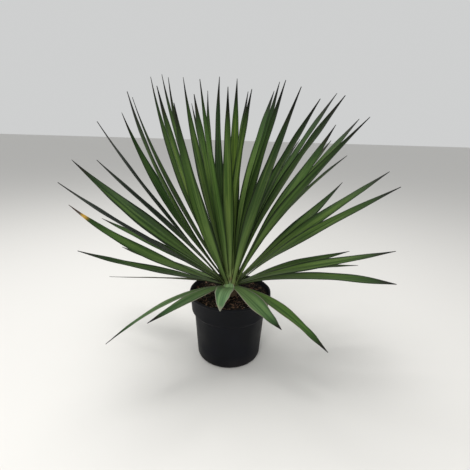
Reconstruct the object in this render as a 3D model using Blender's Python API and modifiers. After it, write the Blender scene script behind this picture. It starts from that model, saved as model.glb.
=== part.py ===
"""Potted yucca gloriosa: a rosette of sword leaves on a short stem, planted in a round nursery pot.

Units are metres and +Z is up. The origin is on the surface that the pot stands on, at the pot's axis.
The plant's front, which its short low leaf marks, looks along -Y.
"""

from collections import namedtuple
from math import atan2, asin, cos, degrees, hypot, pi, radians, sin

import bmesh
import bpy
from mathutils import Matrix, Vector

OBJECT_NAME = "potted_yucca_gloriosa"
GAP = 0.0003

# Pot
POT_HEIGHT = 0.223
POT_RIM_RADIUS = 0.130
POT_LIP_DEPTH = 0.006
POT_LIP_WIDTH = 0.003
POT_COLLAR_BOTTOM = 0.162
POT_COLLAR_BOTTOM_RADIUS = 0.1215
POT_STEP_DROP = 0.010
POT_BODY_TOP_RADIUS = 0.1120
POT_FOOT_RADIUS = 0.0880
POT_CORNER_RADIUS = 0.014
POT_BASE_RADIUS = 0.1020
POT_WALL = 0.0022
POT_FLOOR = 0.003
POT_STEPS = 48
FOOT_RING_WIDTH = 0.010
CENTRE_PAD_RADIUS = 0.030
CHANNEL_RISE = 0.004
DRAIN_HOLES = 8
DRAIN_HOLE_RADIUS = 0.006
DRAIN_HOLE_SIDES = 12
DRAIN_CUT_DEPTH = 0.040
CORNER_START = -30
CORNER_END = -90
CORNER_STEPS = 4

# Soil
SOIL_TOP = 0.210
SOIL_EDGE_DIP = 0.002
SOIL_RINGS = 9
SOIL_LUMP_HEIGHT = 0.007
SOIL_LUMP_SIZE = 0.012

# Stem, with straight sides up to its domed crown
STEM_RADIUS = 0.026
STEM_SINK = 0.045
STEM_STEPS = 24
FIRST_SEAT = 0.242
CROWN_SIDE = 0.020
DOME_HEIGHT = 0.045
DOME_ROWS = 8

# Leaf blades
LEAF_ROWS = 12
NECK_SHARE = 0.34
NECK_END = 0.45
TAPER_START = 0.56
TAPER_POWER = 1.12
TIP_WIDTH = 0.0014
ROOT_THICKNESS = 0.0024
MID_THICKNESS = 0.0020
TIP_THICKNESS = 0.0011
CHANNEL_DEPTH = 0.16
ROOT_BLEND = 0.16
STEEP_RISE = radians(80)
TWIST_END = 0.60
# A blade rises by this much near its root, along a curve whose peak is the greatest of s (1 - s)^2.
SHOULDER_RISE = 0.006
SHOULDER_PEAK = 4 / 27
SEAT_STEP = 0.0032
LEAST_SLANT = 0.4

# One row for each leaf. The azimuth is in degrees, with 0 to the right, 90 to the back and 270 to the
# front. Reach is how far the tip is from the stem's axis, and rise how far it is above the first seat.
# Bow is how far the middle of the blade arches up from its chord, and sway how far it bends sideways,
# towards a greater azimuth. Width is the blade's widest, all in millimetres, and twist is in degrees.
Leaf = namedtuple("Leaf", "azimuth reach rise bow sway width twist")

LOW_LEAVES = [
    Leaf(262, 160, -5, 8, 0, 46, -20),
    Leaf(303, 250, -25, 2, 0, 46, 20),
    Leaf(326, 330, -110, 21, 0, 42, 0),
    Leaf(212, 385, -85, 28, 0, 30, 10),
    Leaf(230, 315, 5, 6, 0, 38, 0),
    Leaf(162, 460, -50, 1, 0, 24, 24),
    Leaf(356, 510, 31, 20, 0, 38, 9),
    Leaf(10, 435, 45, 12, 0, 32, 5),
]

LEFT_LEAVES = [
    Leaf(212, 425, 185, -9, 0, 40, -10),
    Leaf(192, 445, 265, -29, 0, 42, -26),
    Leaf(148, 505, 20, -9, 0, 38, -5),
    Leaf(158, 500, 155, 0, 0, 38, -8),
    Leaf(215, 450, 350, -11, 0, 38, -12),
    Leaf(155, 550, 275, -22, 0, 40, -5),
    Leaf(174, 485, 370, -12, 0, 46, -60),
    Leaf(197, 360, 385, -1, 0, 42, -12),
    Leaf(218, 365, 475, -15, 0, 44, -22),
    Leaf(176, 315, 505, -28, 0, 42, -26),
    Leaf(206, 280, 545, -33, 0, 38, 6),
    Leaf(164, 313, 551, -29, 0, 36, 5),
    Leaf(165, 248, 604, -32, 0, 42, -8),
    Leaf(222, 235, 555, -21, 0, 42, 0),
    Leaf(150, 255, 620, -25, 0, 36, 8),
    Leaf(138, 288, 622, -32, 8, 30, 10),
]

UPRIGHT_LEAVES = [
    Leaf(242, 265, 515, -32, 0, 46, -4),
    Leaf(148, 180, 610, -18, 0, 44, 0),
    Leaf(122, 275, 550, 0, 0, 38, 30),
    Leaf(225, 140, 546, -6, 0, 40, -8),
    Leaf(245, 185, 570, -10, 0, 40, -30),
    Leaf(116, 200, 585, -13, 14, 38, 35),
    Leaf(125, 80, 610, -8, 16, 36, 20),
    Leaf(263, 140, 560, 0, -2, 38, 50),
    Leaf(88, 125, 615, 0, 4, 48, 45),
    Leaf(44, 49, 570, 6, 8, 42, -20),
    Leaf(298, 86, 564, 0, -14, 38, 30),
    Leaf(60, 255, 595, 14, 10, 42, -20),
    Leaf(24, 135, 600, 4, 0, 42, 4),
    Leaf(324, 149, 585, 6, 0, 40, 4),
]

RIGHT_LEAVES = [
    Leaf(294, 305, 547, 11, 0, 42, 12),
    Leaf(315, 261, 536, 17, 0, 44, 0),
    Leaf(50, 370, 445, 16, 10, 36, -30),
    Leaf(18, 315, 580, 20, 0, 42, 5),
    Leaf(336, 284, 552, 17, 0, 43, -18),
    Leaf(6, 290, 490, -4, 0, 42, 50),
    Leaf(40, 445, 443, 16, 0, 38, -15),
    Leaf(14, 385, 510, 12, 0, 40, 15),
    Leaf(322, 360, 500, 19, 0, 42, -22),
    Leaf(26, 425, 397, 26, 0, 38, -48),
    Leaf(28, 435, 305, -12, 0, 42, 30),
    Leaf(2, 455, 365, 5, 0, 42, 18),
    Leaf(330, 435, 355, 10, 0, 43, 28),
    Leaf(22, 465, 60, 3, 0, 40, 16),
    Leaf(342, 455, 175, 2, 0, 40, 15),
]

BACK_LEAVES = [
    Leaf(92, 420, 85, 14, 0, 42, 6),
    Leaf(74, 470, 235, 8, 0, 44, -12),
    Leaf(104, 460, 225, 6, 0, 44, 14),
    Leaf(84, 290, -65, 26, 0, 36, 0),
]

LEAVES = LOW_LEAVES + LEFT_LEAVES + UPRIGHT_LEAVES + RIGHT_LEAVES + BACK_LEAVES

POT_COLOUR = (0.012, 0.012, 0.015)
SOIL_COLOUR = (0.035, 0.020, 0.013)
STEM_COLOUR = (0.230, 0.170, 0.075)
LOW_LEAF_COLOUR = (0.060, 0.130, 0.065)
HIGH_LEAF_COLOUR = (0.045, 0.110, 0.025)


def clear_scene():
    for thing in list(bpy.data.objects):
        bpy.data.objects.remove(thing, do_unlink=True)


def new_collection(name):
    collection = bpy.data.collections.new(name)
    bpy.context.scene.collection.children.link(collection)
    return collection


def make_material(name, colour, roughness):
    material = bpy.data.materials.new(name)
    material.use_nodes = True
    shader = material.node_tree.nodes["Principled BSDF"]
    shader.inputs["Base Color"].default_value = (*colour, 1.0)
    shader.inputs["Roughness"].default_value = roughness
    shader.inputs["Metallic"].default_value = 0.0
    material.diffuse_color = (*colour, 1.0)
    return material


def add_object(name, mesh, collection, material):
    thing = bpy.data.objects.new(name, mesh)
    collection.objects.link(thing)
    mesh.materials.append(material)
    return thing


def smoothstep(value):
    value = min(max(value, 0.0), 1.0)
    return value * value * (3.0 - 2.0 * value)


def arc(centre_x, centre_z, radius, start, end, count):
    """Points of a round corner in a profile, from one angle in degrees to another."""
    angles = [radians(start + (end - start) * step / count) for step in range(count + 1)]
    return [(centre_x + radius * cos(angle), centre_z + radius * sin(angle)) for angle in angles]


def turned_mesh(name, profile):
    """An open line of edges in the XZ plane, for a Screw modifier to turn."""
    mesh = bpy.data.meshes.new(name)
    edges = [(index, index + 1) for index in range(len(profile) - 1)]
    mesh.from_pydata([(x, 0.0, z) for x, z in profile], edges, [])
    return mesh


def add_screw(thing, steps):
    screw = thing.modifiers.new("turn", "SCREW")
    screw.axis = "Z"
    screw.angle = 2 * pi
    screw.steps = steps
    screw.render_steps = steps
    screw.use_merge_vertices = True
    screw.merge_threshold = 0.00005
    screw.use_smooth_shade = True


def pot_outer_line():
    """The pot's outer side from the rim down to where its rounded corner starts."""
    return [
        (POT_RIM_RADIUS, POT_HEIGHT),
        (POT_RIM_RADIUS, POT_HEIGHT - POT_LIP_DEPTH),
        (POT_RIM_RADIUS - POT_LIP_WIDTH, POT_HEIGHT - POT_LIP_DEPTH - POT_LIP_WIDTH),
        (POT_COLLAR_BOTTOM_RADIUS, POT_COLLAR_BOTTOM),
        (POT_BODY_TOP_RADIUS, POT_COLLAR_BOTTOM - POT_STEP_DROP),
        (POT_BASE_RADIUS, POT_CORNER_RADIUS),
    ]


def pot_inner_line(clearance):
    """The pot's inner side from the floor up to the rim, moved in by a clearance."""
    inset = POT_WALL + clearance
    wall = [(radius - inset, height) for radius, height in pot_outer_line()[3:]]
    top = (POT_RIM_RADIUS - POT_LIP_WIDTH - inset, POT_HEIGHT)
    corner = (POT_FOOT_RADIUS, POT_FLOOR + CHANNEL_RISE + clearance)
    return [corner] + wall[::-1] + [top]


def make_pot(collection, cutters):
    foot_inner = POT_FOOT_RADIUS - FOOT_RING_WIDTH
    underside = [
        (foot_inner, 0.0),
        (foot_inner - CHANNEL_RISE, CHANNEL_RISE),
        (CENTRE_PAD_RADIUS + CHANNEL_RISE, CHANNEL_RISE),
        (CENTRE_PAD_RADIUS, 0.0),
        (0.0, 0.0),
    ]
    corner = arc(
        POT_FOOT_RADIUS, POT_CORNER_RADIUS, POT_CORNER_RADIUS, CORNER_START, CORNER_END, CORNER_STEPS
    )
    inside = [(0.0, POT_FLOOR + CHANNEL_RISE)] + pot_inner_line(0.0)
    profile = inside + pot_outer_line() + corner + underside
    material = make_material("pot", POT_COLOUR, 0.55)
    pot = add_object("pot", turned_mesh("pot", profile), collection, material)
    add_screw(pot, POT_STEPS)
    for index in range(DRAIN_HOLES):
        turn = 2 * pi * (index + 0.5) / DRAIN_HOLES
        middle = (foot_inner + CENTRE_PAD_RADIUS) / 2
        add_drain_hole(index, pot, cutters, Vector((middle * cos(turn), middle * sin(turn), 0.0)))
    return pot


def add_drain_hole(index, pot, cutters, place):
    mesh = bpy.data.meshes.new(f"drain_cutter_{index + 1}")
    shape = bmesh.new()
    bmesh.ops.create_cone(
        shape,
        cap_ends=True,
        segments=DRAIN_HOLE_SIDES,
        radius1=DRAIN_HOLE_RADIUS,
        radius2=DRAIN_HOLE_RADIUS,
        depth=DRAIN_CUT_DEPTH,
    )
    shape.to_mesh(mesh)
    shape.free()
    cutter = bpy.data.objects.new(mesh.name, mesh)
    cutter.location = place
    cutter.display_type = "WIRE"
    cutter.hide_render = True
    cutters.objects.link(cutter)
    cut = pot.modifiers.new(cutter.name, "BOOLEAN")
    cut.operation = "DIFFERENCE"
    cut.object = cutter


def soil_height(radius):
    """The bed's mean level, a little lower at the pot's wall."""
    return SOIL_TOP - SOIL_EDGE_DIP * smoothstep(radius / POT_RIM_RADIUS)


def make_soil(collection):
    hole = STEM_RADIUS + GAP
    wall = pot_inner_line(GAP)
    below, above = wall[-2], wall[-1]
    share = (SOIL_TOP - SOIL_EDGE_DIP - below[1]) / (above[1] - below[1])
    edge_radius = below[0] + (above[0] - below[0]) * share
    rings = [hole + (edge_radius - hole) * index / SOIL_RINGS for index in range(SOIL_RINGS + 1)]
    top = [(radius, soil_height(radius)) for radius in rings]
    bottom = SOIL_TOP - STEM_SINK
    profile = [(0.0, bottom), (hole, bottom)] + top + wall[-2::-1] + [(0.0, wall[0][1])]
    material = make_material("soil", SOIL_COLOUR, 0.95)
    soil = add_object("soil", turned_mesh("soil", profile), collection, material)
    lumps = soil.vertex_groups.new(name="bed")
    lumps.add(range(3, 2 + len(top) - 1), 1.0, "REPLACE")
    add_screw(soil, POT_STEPS)
    noise = bpy.data.textures.new("soil_lumps", "CLOUDS")
    noise.noise_scale = SOIL_LUMP_SIZE
    noise.noise_depth = 1
    displace = soil.modifiers.new("lumps", "DISPLACE")
    displace.texture = noise
    displace.texture_coords = "LOCAL"
    displace.direction = "Z"
    displace.strength = SOIL_LUMP_HEIGHT
    displace.vertex_group = lumps.name
    return soil


def dome_length():
    """About the length of the dome's outline, from its edge to its top."""
    return pi / 2 * hypot(STEM_RADIUS, DOME_HEIGHT) / 2**0.5


def crown_place(level):
    """The radius, height and facing angle of the crown's outline, a level being a length along it."""
    if level <= CROWN_SIDE:
        return STEM_RADIUS, FIRST_SEAT + level, 0.0
    turn = min((level - CROWN_SIDE) / dome_length(), 1.0) * pi / 2
    radius = STEM_RADIUS * cos(turn)
    height = FIRST_SEAT + CROWN_SIDE + DOME_HEIGHT * sin(turn)
    return radius, height, atan2(STEM_RADIUS * sin(turn), DOME_HEIGHT * cos(turn))


def make_stem(collection):
    foot = SOIL_TOP - STEM_SINK + GAP
    levels = [CROWN_SIDE + dome_length() * row / DOME_ROWS for row in range(DOME_ROWS, -1, -1)]
    dome = [crown_place(level)[:2] for level in levels]
    profile = [(0.0, dome[0][1])] + dome[1:] + [(STEM_RADIUS, foot), (0.0, foot)]
    material = make_material("stem", STEM_COLOUR, 0.8)
    stem = add_object("stem", turned_mesh("stem", profile), collection, material)
    add_screw(stem, STEM_STEPS)
    return stem


def blade_share(share):
    """The blade's width along its length, as a part of its widest: neck, sword blade, long point."""
    if share < NECK_END:
        return NECK_SHARE + (1.0 - NECK_SHARE) * smoothstep(share / NECK_END)
    if share < TAPER_START:
        return 1.0
    return 1.0 - ((share - TAPER_START) / (1.0 - TAPER_START)) ** TAPER_POWER


def blade_thickness(share):
    if share < 0.5:
        return ROOT_THICKNESS + (MID_THICKNESS - ROOT_THICKNESS) * share / 0.5
    return MID_THICKNESS + (TIP_THICKNESS - MID_THICKNESS) * (share - 0.5) / 0.5


def root_rise(leaf):
    """The angle at which the blade leaves the stem, above the level."""
    run = leaf.reach / 1000 - STEM_RADIUS
    lift = leaf.rise / 1000 - CROWN_SIDE
    slope = 4 * leaf.bow / 1000 + SHOULDER_RISE / SHOULDER_PEAK
    return atan2(lift, run) + slope / hypot(run, lift)


def neck_angle(leaf, level):
    """Half the part of the stem's girth that a leaf's neck takes up, in degrees."""
    half = leaf.width / 1000 * NECK_SHARE / 2
    return degrees(asin(min(half / (crown_place(level)[0] + ROOT_THICKNESS), 1.0)))


def seat_levels(leaves):
    """Steeper leaves grow higher: each sits just above the flatter ones whose necks it would meet."""
    levels = {}
    for index in sorted(range(len(leaves)), key=lambda item: root_rise(leaves[item])):
        level = 0.0
        for other, other_level in sorted(levels.items(), key=lambda item: item[1]):
            apart = abs((leaves[index].azimuth - leaves[other].azimuth + 180) % 360 - 180)
            if apart >= neck_angle(leaves[index], level) + neck_angle(leaves[other], other_level):
                continue
            slant = cos(root_rise(leaves[index]) - crown_place(other_level)[2])
            level = max(level, other_level + SEAT_STEP / max(slant, LEAST_SLANT))
        levels[index] = level
    return [levels[index] for index in range(len(leaves))]


def leaf_grid(leaf, level):
    """The blade's middle surface: a grid bent along the leaf's line, channelled, twisted and tapered."""
    azimuth = radians(leaf.azimuth)
    outward = Vector((cos(azimuth), sin(azimuth), 0.0))
    sideways = Vector((-sin(azimuth), cos(azimuth), 0.0))
    radius, height, facing = crown_place(level)
    clearance = GAP + ROOT_THICKNESS / 2 * abs(sin(root_rise(leaf) - facing))
    seat_radius = radius + clearance * cos(facing)
    root = outward * seat_radius + Vector((0.0, 0.0, height + clearance * sin(facing)))
    tip = outward * leaf.reach / 1000 + Vector((0.0, 0.0, FIRST_SEAT + leaf.rise / 1000))
    chord = tip - root
    upward = chord.normalized().cross(sideways)
    arch = (upward * leaf.bow + sideways * leaf.sway) / 1000
    shoulder = upward * SHOULDER_RISE / SHOULDER_PEAK

    grid = bmesh.new()
    bmesh.ops.create_grid(grid, x_segments=2, y_segments=LEAF_ROWS, size=1.0)
    weights = grid.verts.layers.deform.verify()
    for vertex in grid.verts:
        across = vertex.co.x
        share = (vertex.co.y + 1.0) / 2.0
        line = root + chord * share + arch * 4 * share * (1 - share) + shoulder * share * (1 - share) ** 2
        slope = arch * 4 * (1 - 2 * share) + shoulder * (1 - share) * (1 - 3 * share)
        tangent = (chord + slope).normalized()
        cross = (sideways - tangent * sideways.dot(tangent)).normalized()
        cross.rotate(Matrix.Rotation(radians(leaf.twist) * smoothstep(share / TWIST_END), 3, tangent))
        face = tangent.cross(cross)
        half = max(leaf.width / 1000 * blade_share(share), TIP_WIDTH) / 2
        clasp = 1.0 - smoothstep(share / ROOT_BLEND)
        edge = abs(across) * half
        place = line + cross * across * half
        place += face * edge * CHANNEL_DEPTH * (1.0 - clasp)
        place -= outward * clasp * edge * half / (4 * seat_radius)
        vertex.co = place
        vertex[weights][0] = blade_thickness(share) / ROOT_THICKNESS
    bmesh.ops.triangulate(grid, faces=grid.faces[:], quad_method="FIXED")
    return grid


def leaf_colour(leaf):
    """Low leaves are bluer and steep ones a fresher green."""
    share = smoothstep(root_rise(leaf) / STEEP_RISE)
    return [low + (high - low) * share for low, high in zip(LOW_LEAF_COLOUR, HIGH_LEAF_COLOUR)]


def make_leaf(index, leaf, level, collection):
    name = f"leaf_{index + 1:02d}"
    mesh = bpy.data.meshes.new(name)
    grid = leaf_grid(leaf, level)
    grid.to_mesh(mesh)
    grid.free()
    blade = add_object(name, mesh, collection, make_material(name, leaf_colour(leaf), 0.5))
    thickness = blade.vertex_groups.new(name="thickness")
    solidify = blade.modifiers.new("thickness", "SOLIDIFY")
    solidify.thickness = ROOT_THICKNESS
    solidify.offset = 0.0
    solidify.vertex_group = thickness.name
    return blade


def main():
    clear_scene()
    parts = new_collection(OBJECT_NAME)
    cutters = new_collection("cutters")
    make_pot(parts, cutters)
    make_soil(parts)
    make_stem(parts)
    for index, (leaf, level) in enumerate(zip(LEAVES, seat_levels(LEAVES))):
        make_leaf(index, leaf, level, parts)


main()
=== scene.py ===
"""Looks of the potted yucca gloriosa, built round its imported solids. Metres, +Z up, front towards -Y."""

import random
from collections import namedtuple
from math import atan2, cos, hypot, pi, radians, sin

import bmesh
import bpy
import numpy as np
from mathutils import Matrix, Vector, noise


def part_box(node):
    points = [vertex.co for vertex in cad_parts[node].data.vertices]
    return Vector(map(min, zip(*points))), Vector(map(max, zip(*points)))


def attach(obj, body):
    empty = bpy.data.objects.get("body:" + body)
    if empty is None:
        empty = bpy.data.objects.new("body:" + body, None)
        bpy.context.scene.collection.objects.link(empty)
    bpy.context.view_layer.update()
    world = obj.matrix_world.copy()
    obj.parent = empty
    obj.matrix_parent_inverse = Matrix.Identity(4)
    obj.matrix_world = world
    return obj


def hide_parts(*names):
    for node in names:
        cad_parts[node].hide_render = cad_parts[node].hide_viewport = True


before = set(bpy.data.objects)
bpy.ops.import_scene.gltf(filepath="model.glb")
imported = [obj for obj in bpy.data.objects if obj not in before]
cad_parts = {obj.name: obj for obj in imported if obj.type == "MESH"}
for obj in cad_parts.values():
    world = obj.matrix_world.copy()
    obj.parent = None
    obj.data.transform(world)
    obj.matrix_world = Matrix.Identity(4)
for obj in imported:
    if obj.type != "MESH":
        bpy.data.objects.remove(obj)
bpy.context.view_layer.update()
BODY = "root"
SEED = 41

Ramp = namedtuple("Ramp", "start end low high", defaults=(0.0, 1.0))
Pattern = namedtuple("Pattern", "scale detail roughness stretch", defaults=(2.0, 0.5, None))

# Camera, at the photograph's viewing angle
PICTURE_SIDE = 470
FOCAL_PIXELS = 330
SENSOR_WIDTH = 36.0
CAMERA_PLACE = Vector((0.0, -0.955, 0.703))
CAMERA_PITCH = radians(17.25)
CAMERA_YAW = radians(0.62)
CAMERA_ROLL = radians(1.7)

# Floor and light
FLOOR_SIDE = 60.0
FLOOR_COLOUR = (0.68, 0.67, 0.65)
FLOOR_ROUGHNESS = 0.9
FLOOR_SPECULAR = 0.1
SKY_COLOUR = (0.97, 0.98, 0.98, 1.0)
SKY_STRENGTH = 0.64
LAMP_COLOUR = (1.0, 0.99, 0.97)
Lamp = namedtuple("Lamp", "name place target size power")
LAMPS = (
    Lamp("overhead", (-0.5, 0.4, 2.8), (0.0, 0.0, 0.4), 2.0, 55.0),
    Lamp("front", (-0.6, -2.5, 1.6), (0.0, 0.0, 0.25), 1.6, 40.0),
)

# Pot
POT_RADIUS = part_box("pot")[1].x
POT_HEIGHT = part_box("pot")[1].z
POT_STEPS = 160
LIP_DEPTH = 0.006
LIP_WIDTH = 0.003
RIM_ROUND = 0.0006
EDGE_ROUND = 0.0008
COLLAR_BOTTOM = 0.162
COLLAR_BOTTOM_RADIUS = 0.1215
COLLAR_ROUND = 0.001
COLLAR_FLARE = 0.0004
COLLAR_FLARE_RISE = 0.004
STEP_DROP = 0.010
BODY_TOP_RADIUS = 0.1120
BASE_RADIUS = 0.1020
FOOT_RADIUS = 0.0880
CORNER_RADIUS = 0.014
CORNER_STEPS = 6
POT_WALL = 0.0022
POT_FLOOR = 0.007
MOUTH_RADIUS = POT_RADIUS - LIP_WIDTH - POT_WALL
FOOT_RING_WIDTH = 0.010
CENTRE_PAD_RADIUS = 0.030
CHANNEL_RISE = 0.004
DRAIN_HOLES = 8
DRAIN_HOLE_RADIUS = 0.006
DRAIN_HOLE_STEPS = 24
CUTTER_LENGTH = 4 * POT_FLOOR
SAME_POINT = 0.00001
POT_SHARP_ANGLE = radians(50)

# The pot's soft upper part, which is a little out of round and dented
SOFT_FROM = 0.10
SOFT_LENGTH = 0.10
OUT_OF_ROUND = 0.0008
Wave = namedtuple("Wave", "count start size")
ROUND_WAVES = (Wave(3, 0.6, 1.0), Wave(5, 2.0, 0.6))
DENTS = 0.0022
DENT_SCALE = 26.0

# Pot plastic, with dust low down
PLASTIC_DARK = (0.0018, 0.0022, 0.0034)
PLASTIC_LIGHT = (0.0040, 0.0045, 0.0070)
PLASTIC_SCUFF = (0.014, 0.015, 0.019)
PLASTIC_DUST = (0.120, 0.100, 0.080)
PLASTIC_CLOUD = Pattern(14.0, 4.0, 0.6)
PLASTIC_GRAIN = Pattern(900.0)
PLASTIC_SCRATCHES = Pattern(1.0, 3.0, 0.65, (40, 40, 260))
PLASTIC_LIGHT_RAMP = Ramp(0.35, 0.70)
SCUFF_RAMP = Ramp(0.58, 0.80, 0.0, 0.30)
DUST_HEIGHTS = Ramp(0.0, 0.05, 1.0, 0.0)
DUST_CLOUDS = Ramp(0.3, 0.7)
DUST_SHARE = 0.08
PLASTIC_ROUGHNESS = Ramp(0.3, 0.7, 0.46, 0.62)
PLASTIC_SPECULAR = 0.11
PLASTIC_BUMP = (0.0001, 0.5)

# Soil
SOIL_TOP = 0.210
SOIL_EDGE_DIP = 0.001
SOIL_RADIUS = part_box("soil")[1].x
SOIL_GAP = 0.0012
SKIRT_GAP = 0.002
SKIRT_FOOT_GAP = 0.006
SOIL_RINGS = 56
SOIL_STEPS = 160
SOIL_LUMP = 0.0050
SOIL_LUMP_SCALE = 55
SOIL_LUMP_FRACTAL = (0.9, 2.1, 4)
SOIL_CRUMB = 0.0012
SOIL_CRUMB_SCALE = 260
SOIL_CRUMB_LAYER = 0.3
SOIL_CALM_EDGE = 0.006
# Soil colours: the near-black bed is partly the soil's own colour and partly painted shade in the gaps
# between the bark; the dark spots over the cells are painted shade
SOIL_BLACK = (0.0012, 0.0009, 0.0006)
SOIL_BROWN = (0.013, 0.009, 0.005)
SOIL_PAINTED_SHADE = (0.003, 0.002, 0.002)
SOIL_GRAIN = Pattern(110.0, 5.0, 0.7)
SOIL_GRAIN_RAMP = Ramp(0.35, 0.70)
SOIL_CELL_SCALE = 420.0
SOIL_CELL_RAMP = Ramp(0.0, 0.5, 0.6, 0.0)
SOIL_ROUGHNESS = 0.95
SOIL_SPECULAR = 0.2
SOIL_BUMP = (0.002, 0.8)

# Loose bark: how many bits, the longest one, how slim they are, and the mesh's detail
Bark = namedtuple("Bark", "name count longest slim detail kind seed")
BARKS = (
    Bark("bark_chips", 800, 0.0165, 0.30, 2, "brown", SEED + 100),
    Bark("bark_crumbs", 1900, 0.0060, 0.40, 1, "brown", SEED + 150),
    Bark("bark_chips_red", 266, 0.0145, 0.26, 2, "red", SEED + 200),
    Bark("bark_flecks", 130, 0.0065, 0.40, 1, "pale", SEED + 300),
)
BARK_COLOURS = {
    "brown": ((0.0035, 0.0020, 0.0013), (0.205, 0.118, 0.068)),
    "red": ((0.012, 0.0055, 0.0038), (0.325, 0.155, 0.102)),
    "pale": ((0.160, 0.125, 0.085), (0.520, 0.440, 0.340)),
}
BARK_GRAIN = Pattern(320.0, 3.0, 0.6, (1, 1, 4))
BARK_GRAIN_RAMP = Ramp(0.45, 0.70, 0.0, 0.6)
BARK_ROUGHNESS = 0.85
BARK_SPECULAR = 0.25
BARK_BUMP = (0.0006, 0.7)
BARK_SHARP_ANGLE = radians(45)
BARK_EDGE_GAP = 0.007
BARK_STEM_GAP = 0.002
BARK_INNERMOST = 0.05
BARK_SMALLEST = 0.3
BARK_SIZE_POWER = 1.4
BARK_FLATTEST = 0.6
BARK_LEAN = 0.35
BARK_TILT = 0.30
BARK_PROUD = 0.45
BARK_ROUND_PART = 0.5
BARK_BOX_PART = 0.5
BARK_BOX_HALF = 0.28
BARK_ROUGH_PART = 0.5
BARK_ROUGH_SCALE = 3.5
NOISE_RANGE = 99
SHADE_POWER = 3.9

# Stem
STEM_LOW, STEM_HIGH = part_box("stem")
STEM_RADIUS = STEM_HIGH.x
DOME_HEIGHT = 0.045
FIRST_SEAT = 0.242
STEM_RINGS = 90
STEM_STEPS = 64
STEM_INSET = 0.0006
STEM_BARK = 0.0012
SCAR_DEPTH = 0.0007
SCAR_PITCH = 0.006
SCAR_WAVES = 3
STEM_LUMP_SCALE = 2.2
STEM_LUMPS_UP = 60
STEM_DARK = (0.050, 0.030, 0.016)
STEM_LIGHT = (0.210, 0.145, 0.075)
STEM_SHADE = (0.030, 0.018, 0.010)
STEM_GREEN = (0.040, 0.060, 0.016)
STEM_FIBRES = Pattern(420.0, 3.0, 0.6, (1, 1, 0.12))
STEM_CLOUD = Pattern(70.0, 3.0)
STEM_SHADE_RAMP = Ramp(0.45, 0.7, 0.0, 0.6)
STEM_GREEN_HEIGHTS = Ramp(FIRST_SEAT - 0.006, FIRST_SEAT + 0.014)
STEM_ROUGHNESS = 0.8
STEM_BUMP = (0.0008, 0.8)

# Leaf blades, along which a share runs from 0 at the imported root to 1 at the tip
LEAF_NAMES = sorted(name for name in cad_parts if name.startswith("leaf_"))
FACES = 2
COLUMNS = 3
PLACE_DIGITS = 6
BLADE_ROWS = 64
BLADE_COLUMNS = 12
SHOULDER_ROWS = 5
MAP_MARGIN = 0.01
MAP_SPAN = 1 - 2 * MAP_MARGIN

# The base of a leaf, which clasps the stem
LOW_LEAVES = range(1, 13)
SHEATH_ROWS = 7
SHEATH_DROP = 0.026
LOW_SHEATH_DROP = 0.013
SHEATH_SPREAD = 0.75
SHEATH_DIP = 0.0045
SHEATH_DIP_POWER = 1.5
FRONT_LEAF = 1
FRONT_BASE_RISE = 0.033
FRONT_BASE_SPREAD = -0.45
FRONT_BEND_ROWS = slice(2, 18)
FRONT_BEND_PASSES = 3
BROAD_BASES = {1: 2.2, 2: 1.45}
BROAD_END = 0.45

# Sideways bends of single leaves, in the middle and at the tip
SWAYS = {1: (-0.0085, -0.004), 44: (-0.003, -0.001), 45: (0.002, 0.010)}

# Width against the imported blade: slimmer in the middle, fuller at the point, and wider all along
SLIM_SHARE = 0.06
SLIM_START = 0.50
SLIM_LENGTH = 0.12
POINT_START = 0.70
POINT_LENGTH = 0.17
LONG_POINTS = {7: (0.55, 0.40)}
POINT_GAIN = 0.25
POINT_GAINS = {
    -0.05: (15, 18, 20, 21, 26, 49),
    0.10: (33, 39, 44, 47, 52),
    0.60: (3, 9, 16, 22, 36, 37, 40, 41, 42, 46, 48),
    0.80: (34, 35, 38),
    1.00: (13, 17, 19, 28, 43, 45),
    1.50: (7,),
}
WIDER = {
    3: 1.10, 7: 1.12, 13: 1.12, 16: 1.08, 17: 1.14, 19: 1.12, 31: 1.12,
    48: 1.25, 50: 1.15, 51: 1.12, 53: 1.15
}
SPINE_HALF = 0.0017
SPINE_END = 0.975
SPINE_TAPER = 0.7

# A blade's section: a rounded V with thin edges and low pleats
CHANNEL_GAIN = 1.20
CHANNEL_ROUNDING = 0.30
ROUND_FOOT = 0.15
ROOT_THICKNESS = 0.0013
THICKNESS_LOSS = 0.0005
EDGE_THINNING = 0.70
EDGE_THINNING_POWER = 2.5
PLEAT_HEIGHT = 0.0006
PLEAT_COUNTS = (2, 3, 3, 4)
PLEAT_RISE = 0.3
PLEAT_FALL = 0.25
EDGE_RIPPLE = 0.0008
RIPPLE_SCALE = 7
RIPPLE_LEAF_STEP = 3.7
RIPPLE_FALL = 0.2
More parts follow.
